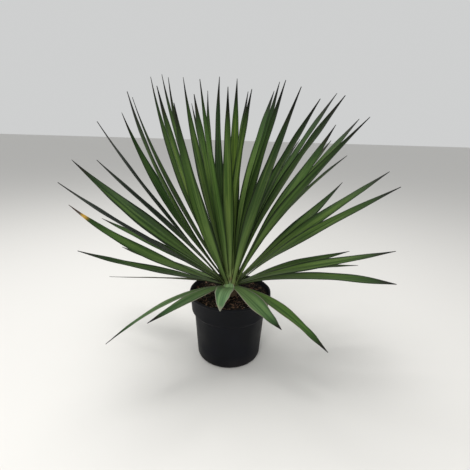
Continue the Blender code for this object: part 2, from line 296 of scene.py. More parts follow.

# Leaf colours: the darkest bands, the light ones, the stripes of painted backlight (glow) and the margin,
# which on most leaves is partly painted shade
Tint = namedtuple("Tint", "deep light glow margin")
TINT_COLOURS = {
    "mid": ((0.030, 0.067, 0.015), (0.102, 0.171, 0.040), (0.160, 0.236, 0.049), (0.006, 0.015, 0.004)),
    "dark": ((0.011, 0.030, 0.007), (0.046, 0.089, 0.022), (0.073, 0.121, 0.028), (0.003, 0.008, 0.002)),
    # shade: painted shade, near black, for leaves seen edge-on against the light
    "shade": ((0.002, 0.005, 0.002), (0.008, 0.016, 0.006), (0.012, 0.024, 0.008), (0.002, 0.004, 0.002)),
    # A bluish-grey green whose blue is a painted sky reflection
    "blue_sheen": ((0.027, 0.060, 0.020), (0.085, 0.147, 0.048), (0.120, 0.189, 0.055), (0.005, 0.013, 0.007)),
    "front": ((0.082, 0.160, 0.072), (0.190, 0.310, 0.150), (0.205, 0.340, 0.140), (0.300, 0.270, 0.220)),
    "low": ((0.038, 0.084, 0.030), (0.104, 0.174, 0.066), (0.110, 0.188, 0.062), (0.280, 0.250, 0.200)),
    "light": ((0.041, 0.092, 0.019), (0.099, 0.175, 0.039), (0.135, 0.214, 0.047), (0.008, 0.019, 0.005)),
    "edged": ((0.036, 0.086, 0.017), (0.086, 0.162, 0.035), (0.118, 0.198, 0.042), (0.250, 0.215, 0.165)),
    "plain": ((0.026, 0.060, 0.013), (0.060, 0.110, 0.026), (0.076, 0.132, 0.031), (0.008, 0.018, 0.005)),
    "calm": ((0.022, 0.051, 0.010), (0.067, 0.116, 0.025), (0.087, 0.143, 0.031), (0.006, 0.013, 0.004)),
    "fresh": ((0.046, 0.093, 0.020), (0.123, 0.196, 0.044), (0.166, 0.245, 0.053), (0.008, 0.018, 0.005)),
    "dusk": ((0.014, 0.035, 0.008), (0.053, 0.099, 0.023), (0.091, 0.142, 0.033), (0.004, 0.008, 0.003)),
    "olive": ((0.028, 0.046, 0.013), (0.078, 0.110, 0.033), (0.108, 0.140, 0.040), (0.016, 0.014, 0.006)),
    "brown": ((0.030, 0.026, 0.012), (0.085, 0.080, 0.040), (0.110, 0.100, 0.050), (0.016, 0.012, 0.007)),
    # sunny: a leaf in strong painted backlight
    "sunny": ((0.034, 0.082, 0.012), (0.122, 0.195, 0.028), (0.225, 0.300, 0.040), (0.008, 0.020, 0.004)),
}
TINTS = {name: Tint(*colours) for name, colours in TINT_COLOURS.items()}
USUAL_TINT = "mid"
SPECIAL_TINTS = {
    "front": (1,),
    "low": (2, 4, 5),
    "calm": (25, 50, 51, 52, 53),
    "fresh": (27, 30, 32, 34, 35),
    # Leaves 31 and 41 take the painted sky reflection
    "blue_sheen": (31, 41),
    "dark": (9, 11, 15, 18, 19, 20, 40, 49),
    "brown": (6,),
    # Leaves 13, 16 and 17 take the painted shade
    "shade": (13, 16, 17),
    "light": (28, 29),
    "edged": (3,),
    "plain": (7, 12, 14, 21, 38, 44),
    "dusk": (37, 39, 42, 43, 47, 48),
    "olive": (8, 24),
    "sunny": (33,),
}
DYING_LEAF = 10
DYING_TINT = "plain"
GREEN_FOOT_TINTS = ("olive",)
PALE_MARGIN_TINTS = ("front", "low", "edged")
BRIGHT_FOOT_TINTS = ("mid", "blue_sheen", "light", "plain", "fresh", "dusk", "olive", "sunny", "dark")
PALE_POINT_TINTS = ("front",)
TIP_BLACK = (0.004, 0.005, 0.003)
TIP_DARK = (0.007, 0.010, 0.004)
TIP_RUST = (0.017, 0.015, 0.007)
TIP_GREEN = (0.008, 0.019, 0.005)
# Foot colours: BASE_PALE and BASE_BRIGHT are partly the leaf's paler base and partly painted sky light
# lifting the shaded crown; BASE_GREEN is lightened partly as painted front light
BASE_PALE = (0.130, 0.195, 0.066)
BASE_BRIGHT = (0.190, 0.275, 0.082)
BASE_GREEN = (0.080, 0.145, 0.052)
BASE_OLIVE = (0.125, 0.150, 0.056)
BASE_DRY = (0.150, 0.105, 0.055)
DEAD_YELLOW = (0.420, 0.250, 0.040)
DEAD_GREY = (0.060, 0.046, 0.038)

# Leaf patterns, stretched over the fibres: across, along and from leaf to leaf
BANDS = Pattern(1.0, 1.0, 0.5, (150, 2.5, 5))
# GLOW places the stripes of painted backlight
GLOW = Pattern(1.0, 1.0, 0.5, (90, 3.5, 23))
STREAKS = Pattern(1.0, 2.0, 0.5, (650, 7, 11))
THREADS = Pattern(1.0, 1.0, 0.5, (1900, 16, 17))
PATCHES = Pattern(1.0, 3.0, 0.5, (30, 9, 3))
LEAF_DRAW = Pattern(1.0, 0.0, 0.5, (0, 0, 7.3))
BAND_RAMP = Ramp(0.40, 0.60)
GLOW_RAMP = Ramp(0.50, 0.64)
GLOW_ACROSS = Ramp(0.35, 0.85, 0.85, 0.0)
STREAK_RAMP = Ramp(0.40, 0.75, 0.0, 0.50)
PATCH_RAMP = Ramp(0.45, 0.75, 0.0, 0.35)
THREAD_RAMP = Ramp(0.50, 0.80, 0.0, 0.45)

# Where a leaf changes along its length or across its width, and how strongly
BASE_GREEN_ALONG = Ramp(0.30, 0.66, 0.85, 0.0)
BASE_PALE_ALONG = Ramp(0.12, 0.60, 0.40, 0.0)
BASE_BRIGHT_ALONG = Ramp(0.0, 0.24, 0.60, 0.0)
BASE_OLIVE_ALONG = Ramp(0.0, 0.13, 0.45, 0.0)
DRY_ALONG = Ramp(-0.09, -0.03, 0.9, 0.0)
DRY_STREAKS = Ramp(0.3, 0.6)
PALE_MARGIN_ACROSS = Ramp(0.86, 0.96, 0.0, 0.85)
# A dark margin that deepens towards the edges: partly the leaf's own thin edge, partly painted shade on its
# thick edges
MARGIN_ACROSS = Ramp(0.62, 0.94, 0.0, 0.90)
MARGIN_ALONG = Ramp(-0.10, -0.04)
PALE_POINT_ALONG = Ramp(0.80, 0.98, 0.0, 0.70)
DEEP_POINT_ALONG = Ramp(0.58, 0.92, 0.0, 0.85)
GREEN_POINT_ALONG = Ramp(0.72, 0.94, 0.0, 0.70)
RUST_ALONG = Ramp(0.60, 0.92)
RUST_ACROSS = Ramp(0.70, 0.95, 0.0, 0.55)
RAGGED = 0.05
YELLOW_ALONG = Ramp(0.870, 0.905)
GREY_ALONG = Ramp(0.915, 0.930)
BURNT_SHIFT = Ramp(0.35, 0.65, -0.02, 0.015)
BURNT_PATCHES = Ramp(0.45, 0.60)
BURNT_ALONG = Ramp(0.85, 0.93)
BLACK_ALONG = Ramp(0.91, 0.96)
LEAF_ROUGHNESS = Ramp(0.2, 0.8, 0.38, 0.55)
LEAF_SPECULAR = 0.10
STREAK_BUMP = (0.00025, 0.7)
THREAD_BUMP = (0.0001, 0.6)

# Sockets of a node that mixes two colours
MIX_FIRST = 6
MIX_SECOND = 7
MIX_RESULT = 2


class Shader:
    """A material's node tree, with a short call for each kind of node."""

    def __init__(self, name, roughness=0.5):
        self.material = bpy.data.materials.new(name)
        self.material.use_nodes = True
        self.tree = self.material.node_tree
        self.surface = self.tree.nodes["Principled BSDF"]
        self.set("Roughness", roughness)

    def node(self, kind, inputs=(), **settings):
        made = self.tree.nodes.new(kind)
        for key, value in settings.items():
            setattr(made, key, value)
        for key, value in dict(inputs).items():
            self.feed(made.inputs[key], value)
        return made

    def feed(self, socket, value):
        if isinstance(value, bpy.types.NodeSocket):
            self.tree.links.new(value, socket)
        elif isinstance(value, tuple) and len(value) == 3 and socket.type == "RGBA":
            socket.default_value = (*value, 1.0)
        else:
            socket.default_value = value

    def set(self, key, value):
        self.feed(self.surface.inputs[key], value)

    def attribute(self, name):
        return self.node("ShaderNodeAttribute", attribute_name=name).outputs["Vector"]

    def split(self, vector):
        return self.node("ShaderNodeSeparateXYZ", {"Vector": vector}).outputs

    def position(self):
        return self.node("ShaderNodeTexCoord").outputs["Object"]

    def pattern(self, vector, pattern):
        """A noise over the places that vector gives."""
        if pattern.stretch:
            factors = {0: vector, 1: pattern.stretch}
            vector = self.node("ShaderNodeVectorMath", factors, operation="MULTIPLY").outputs["Vector"]
        grain = {"Scale": pattern.scale, "Detail": pattern.detail, "Roughness": pattern.roughness}
        return self.node("ShaderNodeTexNoise", {"Vector": vector, **grain}).outputs["Fac"]

    def cells(self, vector, scale):
        return self.node("ShaderNodeTexVoronoi", {"Vector": vector, "Scale": scale}).outputs["Distance"]

    def math(self, operation, first, second=0.0):
        return self.node("ShaderNodeMath", {0: first, 1: second}, operation=operation).outputs["Value"]

    def rise(self, value, ramp):
        """From the ramp's low to its high, smoothly, as value goes from its start to its end."""
        ends = {"From Min": ramp.start, "From Max": ramp.end, "To Min": ramp.low, "To Max": ramp.high}
        made = self.node("ShaderNodeMapRange", {"Value": value, **ends}, interpolation_type="SMOOTHSTEP")
        return made.outputs["Result"]

    def both(self, first, first_ramp, second, second_ramp):
        """The product of two values, each along its own ramp."""
        return self.math("MULTIPLY", self.rise(first, first_ramp), self.rise(second, second_ramp))

    def mix(self, share, first, second):
        made = self.node("ShaderNodeMix", data_type="RGBA")
        self.feed(made.inputs["Factor"], share)
        self.feed(made.inputs[MIX_FIRST], first)
        self.feed(made.inputs[MIX_SECOND], second)
        return made.outputs[MIX_RESULT]

    def cover(self, under, over, value, ramp):
        """One colour laid over another, as strongly as value is along its ramp."""
        return self.mix(self.rise(value, ramp), under, over)

    def bump(self, height, distance, strength, under=None):
        made = self.node("ShaderNodeBump", {"Height": height, "Distance": distance, "Strength": strength})
        if under:
            self.feed(made.inputs["Normal"], under)
        return made.outputs["Normal"]


def smoothstep(value):
    value = min(max(value, 0.0), 1.0)
    return value * value * (3.0 - 2.0 * value)


def ring_places(radius, steps):
    """Places round a circle, seen from above."""
    turns = [2 * pi * step / steps for step in range(steps)]
    return [(radius * cos(turn), radius * sin(turn)) for turn in turns]


def ring_quads(rings, count, first=0):
    """Faces that join rings of points, each ring to the next."""
    quads = []
    for ring in range(rings - 1):
        start = first + ring * count
        for place in range(count):
            after = (place + 1) % count
            quads.append((start + place, start + count + place, start + count + after, start + after))
    return quads


def add_piece(name, mesh, material, nodes=()):
    """A piece of the plant or its pot, which rides on the one body."""
    piece = bpy.data.objects.new(name, mesh)
    bpy.context.scene.collection.objects.link(piece)
    mesh.materials.append(material)
    mesh.shade_smooth()
    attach(piece, BODY)
    if nodes:
        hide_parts(*nodes)
    return piece


def vector_attribute(mesh, name, values):
    made = mesh.attributes.new(name, "FLOAT_VECTOR", "POINT")
    made.data.foreach_set("vector", np.asarray(values, np.float32).ravel())


# Leaf blades

def packed_rows(name):
    """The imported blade's rows from root to tip, each as its left edge, middle and right edge."""
    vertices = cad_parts[name].data.vertices
    corners = {tuple(round(value, PLACE_DIGITS) for value in vertex.co) for vertex in vertices}
    points = np.array(sorted(corners))
    crown = np.array((0.0, 0.0, STEM_HIGH.z - DOME_HEIGHT))
    root = points[np.argmin(np.linalg.norm(points - crown, axis=1))]
    tip = points[np.argmax(np.linalg.norm(points - root, axis=1))]
    order = np.argsort((points - root) @ (tip - root))
    rows = points[order].reshape(-1, FACES * COLUMNS, 3)
    outward = rows[0].mean(axis=0) * (1, 1, 0)
    across = np.cross((0.0, 0.0, 1.0), outward)
    lines = []
    for row in rows:
        ranked = row[np.argsort(row @ across)]
        left, middle, right = ranked.reshape(COLUMNS, FACES, 3).mean(axis=1)
        lines.append((left, middle, right))
        across = right - left
    return np.array(lines)


def spline(points, count):
    """Points of a smooth curve through the given ones, the first and last included."""
    points = np.asarray(points)
    padded = np.vstack((2 * points[:1] - points[1:2], points, 2 * points[-1:] - points[-2:-1]))
    places = np.linspace(0, len(points) - 1, count)
    first = np.minimum(places.astype(int), len(points) - 2)
    t = (places - first)[:, None]
    a, b, c, d = (padded[first + step] for step in range(4))
    return 0.5 * (2 * b + (c - a) * t + (2 * a - 5 * b + 4 * c - d) * t**2 + (3 * b - a - 3 * c + d) * t**3)


def crown_radius(height):
    dome = min(max(height - STEM_HIGH.z + DOME_HEIGHT, 0.0) / DOME_HEIGHT, 1.0)
    return STEM_RADIUS * (1 - dome * dome) ** 0.5


def rounded(values):
    """The same values, smoothed along the blade so that its outline has no corners."""
    for _ in range(SHOULDER_ROWS):
        values[1:-1] = (values[:-2] + 2 * values[1:-1] + values[2:]) / 4
    return values


def sheath_rows(root, width, number):
    """Rows of the leaf's base, which runs down the stem from the blade's root and clasps it."""
    turn = atan2(root[1], root[0])
    outward = np.array((cos(turn), sin(turn), 0.0))
    sideways = np.array((-sin(turn), cos(turn), 0.0))
    gap = hypot(root[0], root[1]) - crown_radius(root[2])
    drop = LOW_SHEATH_DROP if number in LOW_LEAVES else SHEATH_DROP
    flare = SHEATH_SPREAD
    if number == FRONT_LEAF:
        drop, flare = -FRONT_BASE_RISE, FRONT_BASE_SPREAD
    line, half, channel = [], [], []
    for row in range(SHEATH_ROWS, 0, -1):
        share = row / SHEATH_ROWS
        height = max(root[2] - drop * share, FIRST_SEAT - LOW_SHEATH_DROP)
        clasped = root[2] if number == FRONT_LEAF else height
        radius = crown_radius(clasped) + gap - SHEATH_DIP * share**SHEATH_DIP_POWER
        spread = min(width * (1 + flare * share) / radius, pi / 2)
        line.append(outward * radius + (0.0, 0.0, height))
        half.append(sideways * radius * sin(spread))
        channel.append(outward * radius * (cos(spread) - 1))
    return np.array(line), np.array(half), np.array(channel)


def width_gain(number, share):
    """How much wider than packed the blade is: broader low bases, and a slim blade with a fuller point."""
    base = (BROAD_BASES.get(number, 1.0) - 1) * (1 - smoothstep(share / BROAD_END))
    slim = SLIM_SHARE * smoothstep((share - SLIM_START) / SLIM_LENGTH)
    gain = next((value for value, leaves in POINT_GAINS.items() if number in leaves), POINT_GAIN)
    start, length = LONG_POINTS.get(number, (POINT_START, POINT_LENGTH))
    fuller = gain * smoothstep((share - start) / length)
    return WIDER.get(number, 1.0) * (1 + base - slim + fuller)


def blade_lines(name, number):
    """The blade's middle line, half width, channel and upper side's direction, with its sheath first."""
    left, middle, right = (packed_rows(name)[:, column] for column in range(COLUMNS))
    line = spline(middle, BLADE_ROWS + 1)
    shares = np.linspace(0, 1, BLADE_ROWS + 1)
    gains = [width_gain(number, share) for share in shares]
    half = rounded(spline((right - left) / 2, BLADE_ROWS + 1)) * np.array(gains)[:, None]
    size = np.linalg.norm(half, axis=1)[:, None]
    ends = [smoothstep((share - SPINE_END) / (1 - SPINE_END)) for share in shares]
    spine = SPINE_HALF * (1 - SPINE_TAPER * np.array(ends))
    half *= np.maximum(size, spine[:, None]) / size
    channel = rounded(spline((left + right) / 2 - middle, BLADE_ROWS + 1)) * CHANNEL_GAIN
    middle_sway, tip_sway = SWAYS.get(number, (0.0, 0.0))
    line[:, 0] += middle_sway * 4 * shares * (1 - shares) + tip_sway * shares
    base = sheath_rows(line[0], np.linalg.norm(half[0]), number)
    line, half, channel = (np.vstack(pair) for pair in zip(base, (line, half, channel)))
    if number == FRONT_LEAF:
        for _ in range(FRONT_BEND_PASSES):
            line[FRONT_BEND_ROWS] = rounded(line[FRONT_BEND_ROWS].copy())
    tangent = np.gradient(line, axis=0)
    tangent /= np.linalg.norm(tangent, axis=1)[:, None]
    face = np.cross(tangent, half)
    face /= np.linalg.norm(face, axis=1)[:, None]
    return line, half, channel, face


def channel_shape(across, share):
    """The section's depth, 0 in the middle and 1 at the edges: round on the stem, then a rounded V."""
    depth = hypot(across, CHANNEL_ROUNDING) - CHANNEL_ROUNDING
    vee = depth / (hypot(1.0, CHANNEL_ROUNDING) - CHANNEL_ROUNDING)
    return across**2 + (vee - across**2) * smoothstep(share / ROUND_FOOT)


def half_thickness(share, across):
    middle = ROOT_THICKNESS - THICKNESS_LOSS * max(share, 0.0)
    return middle * (1.0 - EDGE_THINNING * abs(across) ** EDGE_THINNING_POWER)


def add_strip_map(mesh, count, rows):
    """A flat map of the blade as one straight strip: round the section across, root to tip upwards."""
    layer = mesh.uv_layers.new(name="OFBake")
    for face in mesh.polygons:
        places = [mesh.loops[loop].vertex_index for loop in face.loop_indices]
        wraps = max(place % count for place in places) == count - 1
        for loop, place in zip(face.loop_indices, places):
            column = place % count
            if wraps and column == 0:
                column = count
            up = MAP_MARGIN + MAP_SPAN * (place // count) / rows
            layer.data[loop].uv = (MAP_MARGIN + MAP_SPAN * column / count, up)


def make_blade(name, number, material):
    """A closed blade: rings of points round its section, from the sheath's foot to a pointed tip."""
    line, half, channel, face = blade_lines(name, number)
    chance = random.Random(SEED + number)
    pleats = chance.choice(PLEAT_COUNTS)
    phase = chance.uniform(0, 2 * pi)
    length = np.linalg.norm(np.diff(line, axis=0), axis=1).sum()
    columns = [2 * column / BLADE_COLUMNS - 1 for column in range(BLADE_COLUMNS + 1)]
    ring = [(across, 1) for across in columns] + [(across, -1) for across in reversed(columns)]
    count = len(ring)
    rows = SHEATH_ROWS + BLADE_ROWS

    points, blade, fibre = [], [], []
    for row in range(rows + 1):
        share = (row - SHEATH_ROWS) / BLADE_ROWS
        pleat = PLEAT_HEIGHT * smoothstep(share / PLEAT_RISE) * smoothstep((1 - share) / PLEAT_FALL)
        wave = noise.noise(Vector((share * RIPPLE_SCALE, number * RIPPLE_LEAF_STEP, 0)))
        ripple = EDGE_RIPPLE * wave * smoothstep((1 - share) / RIPPLE_FALL)
        width = np.linalg.norm(half[row])
        for across, side in ring:
            lift = pleat * cos(pleats * pi * across + phase) * (1 - across**2)
            lift += ripple * across * abs(across) + side * half_thickness(share, across)
            sag = channel[row] * channel_shape(across, share)
            points.append(line[row] + half[row] * across + sag + face[row] * lift)
            blade.append((across, share, side))
            fibre.append((across * width, share * length, number))

    caps = [tuple(range(count)), tuple(reversed(range(rows * count, (rows + 1) * count)))]
    mesh = bpy.data.meshes.new(name)
    mesh.from_pydata(points, [], ring_quads(rows + 1, count) + caps)
    vector_attribute(mesh, "blade", blade)
    vector_attribute(mesh, "fibre", fibre)
    add_strip_map(mesh, count, rows)
    add_piece(f"{name}_blade", mesh, material, (name,))


def leaf_material(name, tint, dying=False):
    """A leaf's looks: banded and streaked, with stripes of painted backlight, and its base, margin and
    point; the paler base is partly painted light and the dark margin partly painted shade.
    """
    shader = Shader(f"leaf_{name}")
    across, along, _ = shader.split(shader.attribute("blade"))
    edge = shader.math("ABSOLUTE", across)
    fibre = shader.attribute("fibre")
    bands, glow, streaks, threads, patches = (
        shader.pattern(fibre, pattern) for pattern in (BANDS, GLOW, STREAKS, THREADS, PATCHES)
    )

    colour = shader.cover(tint.deep, tint.light, bands, BAND_RAMP)
    # Stripes of painted backlight, strongest down the middle of the blade
    colour = shader.mix(shader.both(glow, GLOW_RAMP, edge, GLOW_ACROSS), colour, tint.glow)
    colour = shader.cover(colour, tint.light, streaks, STREAK_RAMP)
    colour = shader.cover(colour, tint.deep, patches, PATCH_RAMP)
    colour = shader.cover(colour, tint.deep, threads, THREAD_RAMP)

    # Paler, brighter feet: partly the leaf's own base, partly painted light on the shaded crown
    if name in GREEN_FOOT_TINTS:
        colour = shader.cover(colour, BASE_GREEN, along, BASE_GREEN_ALONG)
    colour = shader.cover(colour, BASE_PALE, along, BASE_PALE_ALONG)
    if name in BRIGHT_FOOT_TINTS:
        colour = shader.cover(colour, BASE_BRIGHT, along, BASE_BRIGHT_ALONG)
    if name not in PALE_MARGIN_TINTS:
        colour = shader.cover(colour, BASE_OLIVE, along, BASE_OLIVE_ALONG)
    colour = shader.mix(shader.both(along, DRY_ALONG, streaks, DRY_STREAKS), colour, BASE_DRY)

    # The margin: pale and real on some leaves; on the rest dark, partly their own edge and partly painted
    # shade
    if name in PALE_MARGIN_TINTS:
        margin = shader.rise(edge, PALE_MARGIN_ACROSS)
    else:
        margin = shader.both(edge, MARGIN_ACROSS, along, MARGIN_ALONG)
    colour = shader.mix(margin, colour, tint.margin)

    if name in PALE_POINT_TINTS:
        colour = shader.cover(colour, tint.margin, along, PALE_POINT_ALONG)
    else:
        colour = shader.cover(colour, tint.deep, along, DEEP_POINT_ALONG)
        colour = shader.cover(colour, TIP_GREEN, along, GREEN_POINT_ALONG)
        colour = shader.mix(shader.both(along, RUST_ALONG, edge, RUST_ACROSS), colour, TIP_RUST)
    uneven = shader.math("MULTIPLY", shader.math("SUBTRACT", streaks, 0.5), RAGGED)
    ragged = shader.math("ADD", along, uneven)
    if dying:
        colour = shader.cover(colour, DEAD_YELLOW, ragged, YELLOW_ALONG)
        colour = shader.cover(colour, DEAD_GREY, ragged, GREY_ALONG)
    elif name not in PALE_POINT_TINTS:
        burnt = shader.math("ADD", ragged, shader.rise(shader.pattern(fibre, LEAF_DRAW), BURNT_SHIFT))
        rust = shader.cover(TIP_DARK, TIP_RUST, patches, BURNT_PATCHES)
        colour = shader.cover(colour, rust, burnt, BURNT_ALONG)
        colour = shader.cover(colour, TIP_BLACK, burnt, BLACK_ALONG)

    shader.set("Base Color", colour)
    shader.set("Roughness", shader.rise(streaks, LEAF_ROUGHNESS))
    shader.set("Specular IOR Level", LEAF_SPECULAR)
    ridges = shader.bump(streaks, *STREAK_BUMP)
    shader.set("Normal", shader.bump(threads, *THREAD_BUMP, ridges))
    return shader.material


def make_leaves():
    materials = {name: leaf_material(name, tint) for name, tint in TINTS.items()}
    materials["dying"] = leaf_material("dying", TINTS[DYING_TINT], dying=True)
    tints = {number: name for name, numbers in SPECIAL_TINTS.items() for number in numbers}
    tints[DYING_LEAF] = "dying"
    for name in LEAF_NAMES:
        number = int(name.removeprefix("leaf_"))
        make_blade(name, number, materials[tints.get(number, USUAL_TINT)])


# Pot

def pot_profile():
    """The outline that is turned round the axis: from the inside's middle over the rim to the underside."""
    inner = [
        (0.0, POT_FLOOR),
        (FOOT_RADIUS, POT_FLOOR),
        (BASE_RADIUS - POT_WALL, CORNER_RADIUS),
        (BODY_TOP_RADIUS - POT_WALL, COLLAR_BOTTOM - STEP_DROP),
        (COLLAR_BOTTOM_RADIUS - POT_WALL, COLLAR_BOTTOM),
        (MOUTH_RADIUS, POT_HEIGHT - RIM_ROUND),
        (MOUTH_RADIUS + RIM_ROUND, POT_HEIGHT),
    ]
    outer = [
        (POT_RADIUS - RIM_ROUND, POT_HEIGHT),
        (POT_RADIUS, POT_HEIGHT - EDGE_ROUND),
        (POT_RADIUS, POT_HEIGHT - LIP_DEPTH + EDGE_ROUND),
        (POT_RADIUS - EDGE_ROUND, POT_HEIGHT - LIP_DEPTH),
        (POT_RADIUS - LIP_WIDTH, POT_HEIGHT - LIP_DEPTH - LIP_WIDTH),
        (COLLAR_BOTTOM_RADIUS + COLLAR_FLARE, COLLAR_BOTTOM + COLLAR_FLARE_RISE),
        (COLLAR_BOTTOM_RADIUS, COLLAR_BOTTOM + COLLAR_ROUND),
        (COLLAR_BOTTOM_RADIUS - COLLAR_ROUND, COLLAR_BOTTOM - COLLAR_ROUND),
        (BODY_TOP_RADIUS + EDGE_ROUND, COLLAR_BOTTOM - STEP_DROP + EDGE_ROUND),
        (BODY_TOP_RADIUS, COLLAR_BOTTOM - STEP_DROP - EDGE_ROUND),
        (BASE_RADIUS, CORNER_RADIUS),
    ]
    turns = [radians(-90 * (step + 1) / CORNER_STEPS) for step in range(CORNER_STEPS)]
    corner = [
        (FOOT_RADIUS + CORNER_RADIUS * cos(turn), CORNER_RADIUS + CORNER_RADIUS * sin(turn))
        for turn in turns
    ]
    foot = FOOT_RADIUS - FOOT_RING_WIDTH
    under = [
        (foot, 0.0),
        (foot - CHANNEL_RISE, CHANNEL_RISE),
        (CENTRE_PAD_RADIUS + CHANNEL_RISE, CHANNEL_RISE),
        (CENTRE_PAD_RADIUS, 0.0),
        (0.0, 0.0),
    ]
    return inner + outer + corner + under


def pot_material():
    shader = Shader("pot_plastic")
    place = shader.position()
    height = shader.split(place)[2]
    cloud = shader.pattern(place, PLASTIC_CLOUD)
    colour = shader.cover(PLASTIC_DARK, PLASTIC_LIGHT, cloud, PLASTIC_LIGHT_RAMP)
    scratches = shader.pattern(place, PLASTIC_SCRATCHES)
    colour = shader.cover(colour, PLASTIC_SCUFF, scratches, SCUFF_RAMP)
    dust = shader.both(height, DUST_HEIGHTS, cloud, DUST_CLOUDS)
    colour = shader.mix(shader.math("MULTIPLY", dust, DUST_SHARE), colour, PLASTIC_DUST)
    shader.set("Base Color", colour)
    shader.set("Roughness", shader.rise(cloud, PLASTIC_ROUGHNESS))
    shader.set("Specular IOR Level", PLASTIC_SPECULAR)
    shader.set("Normal", shader.bump(shader.pattern(place, PLASTIC_GRAIN), *PLASTIC_BUMP))
    return shader.material


def make_pot():
    points = [(x, 0.0, z) for x, z in pot_profile()]
    edges = [(place, place + 1) for place in range(len(points) - 1)]
    mesh = bpy.data.meshes.new("pot_shell")
    mesh.from_pydata(points, edges, [])
    shape = bmesh.new()
    shape.from_mesh(mesh)
    bmesh.ops.spin(
        shape, geom=shape.verts[:] + shape.edges[:], axis=(0, 0, 1), cent=(0, 0, 0),
        angle=2 * pi, steps=POT_STEPS
    )
    bmesh.ops.remove_doubles(shape, verts=shape.verts, dist=SAME_POINT)
    for vertex in shape.verts:
        push_wall(vertex)
    bmesh.ops.recalc_face_normals(shape, faces=shape.faces)
    shape.to_mesh(mesh)
    shape.free()
    piece = add_piece("pot_shell", mesh, pot_material(), ("pot",))
    cut_drain_holes(piece)
    piece.data.set_sharp_from_angle(angle=POT_SHARP_ANGLE)


def push_wall(vertex):
    """Takes the pot's soft upper wall a little out of round, and dents it."""
    reach = hypot(vertex.co.x, vertex.co.y)
    if reach <= CENTRE_PAD_RADIUS:
        return
    turn = atan2(vertex.co.y, vertex.co.x)
    softness = smoothstep((vertex.co.z - SOFT_FROM) / SOFT_LENGTH)
    waves = sum(wave.size * sin(wave.count * turn + wave.start) for wave in ROUND_WAVES)
    push = OUT_OF_ROUND * softness * (waves - 1)
    push += DENTS * softness * noise.noise(Vector(vertex.co) * DENT_SCALE)
    vertex.co.x *= 1 + push / reach
    vertex.co.y *= 1 + push / reach


def cut_drain_holes(piece):
    """Cuts the drain holes through the floor, in the channel between the foot ring and the middle pad."""
    middle = (FOOT_RADIUS - FOOT_RING_WIDTH + CENTRE_PAD_RADIUS) / 2
    shape = bmesh.new()
    for index in range(DRAIN_HOLES):
        turn = 2 * pi * (index + 0.5) / DRAIN_HOLES
        bmesh.ops.create_cone(
            shape, cap_ends=True, segments=DRAIN_HOLE_STEPS,
            radius1=DRAIN_HOLE_RADIUS, radius2=DRAIN_HOLE_RADIUS, depth=CUTTER_LENGTH,
            matrix=Matrix.Translation((middle * cos(turn), middle * sin(turn), 0.0))
        )
    mesh = bpy.data.meshes.new("drain_cutter")
    shape.to_mesh(mesh)
    shape.free()
    cutter = bpy.data.objects.new("drain_cutter", mesh)
    bpy.context.scene.collection.objects.link(cutter)
    cut = piece.modifiers.new("drain_holes", "BOOLEAN")
    cut.operation = "DIFFERENCE"
    cut.object = cutter
    bpy.context.view_layer.update()
    drilled = piece.evaluated_get(bpy.context.evaluated_depsgraph_get())
    drilled_mesh = bpy.data.meshes.new_from_object(drilled)
    piece.modifiers.clear()
    piece.data = drilled_mesh
    bpy.data.objects.remove(cutter)


# Soil

def soil_level(x, y):
    """Height of the bark bed's surface at a place."""
    radius = hypot(x, y)
    lumps = noise.fractal(Vector((x, y, 0.0)) * SOIL_LUMP_SCALE, *SOIL_LUMP_FRACTAL)
    crumbs = noise.noise(Vector((x, y, SOIL_CRUMB_LAYER)) * SOIL_CRUMB_SCALE)
    calm = smoothstep((SOIL_RADIUS - radius) / SOIL_CALM_EDGE)
    level = SOIL_TOP - SOIL_EDGE_DIP * smoothstep(radius / POT_RADIUS)
    return level + SOIL_LUMP * lumps * calm + SOIL_CRUMB * crumbs


def soil_material():
    shader = Shader("bark_soil", SOIL_ROUGHNESS)
    place = shader.position()
    grain = shader.pattern(place, SOIL_GRAIN)
    colour = shader.cover(SOIL_BLACK, SOIL_BROWN, grain, SOIL_GRAIN_RAMP)
    # Dark spots over the cells: painted shade in the hollows of the bed
    colour = shader.cover(colour, SOIL_PAINTED_SHADE, shader.cells(place, SOIL_CELL_SCALE), SOIL_CELL_RAMP)
    shader.set("Base Color", colour)
    shader.set("Specular IOR Level", SOIL_SPECULAR)
    shader.set("Normal", shader.bump(grain, *SOIL_BUMP))
    return shader.material


def make_soil():
    """The bed's lumpy top, with a plain skirt down to the pot's floor below it."""
    top_radius = MOUTH_RADIUS - SOIL_GAP
    radii = [top_radius * ((ring + 1) / SOIL_RINGS) for ring in range(SOIL_RINGS)]
    skirt = [
        (BODY_TOP_RADIUS - POT_WALL - SKIRT_GAP, COLLAR_BOTTOM - STEP_DROP),
        (BASE_RADIUS - SKIRT_FOOT_GAP, CORNER_RADIUS),
    ]
    points = [(0.0, 0.0, soil_level(0.0, 0.0))]
    for radius in radii:
        points += [(x, y, soil_level(x, y)) for x, y in ring_places(radius, SOIL_STEPS)]
    for radius, height in skirt:
        points += [(x, y, height) for x, y in ring_places(radius, SOIL_STEPS)]
    rings = len(radii) + len(skirt)
    faces = [(0, 1 + step, 1 + (step + 1) % SOIL_STEPS) for step in range(SOIL_STEPS)]
    faces += ring_quads(rings, SOIL_STEPS, first=1)
    faces.append(tuple(reversed(range(1 + (rings - 1) * SOIL_STEPS, 1 + rings * SOIL_STEPS))))
    mesh = bpy.data.meshes.new("soil_bed")
    mesh.from_pydata(points, [], faces)
    add_piece("soil_bed", mesh, soil_material(), ("soil",))


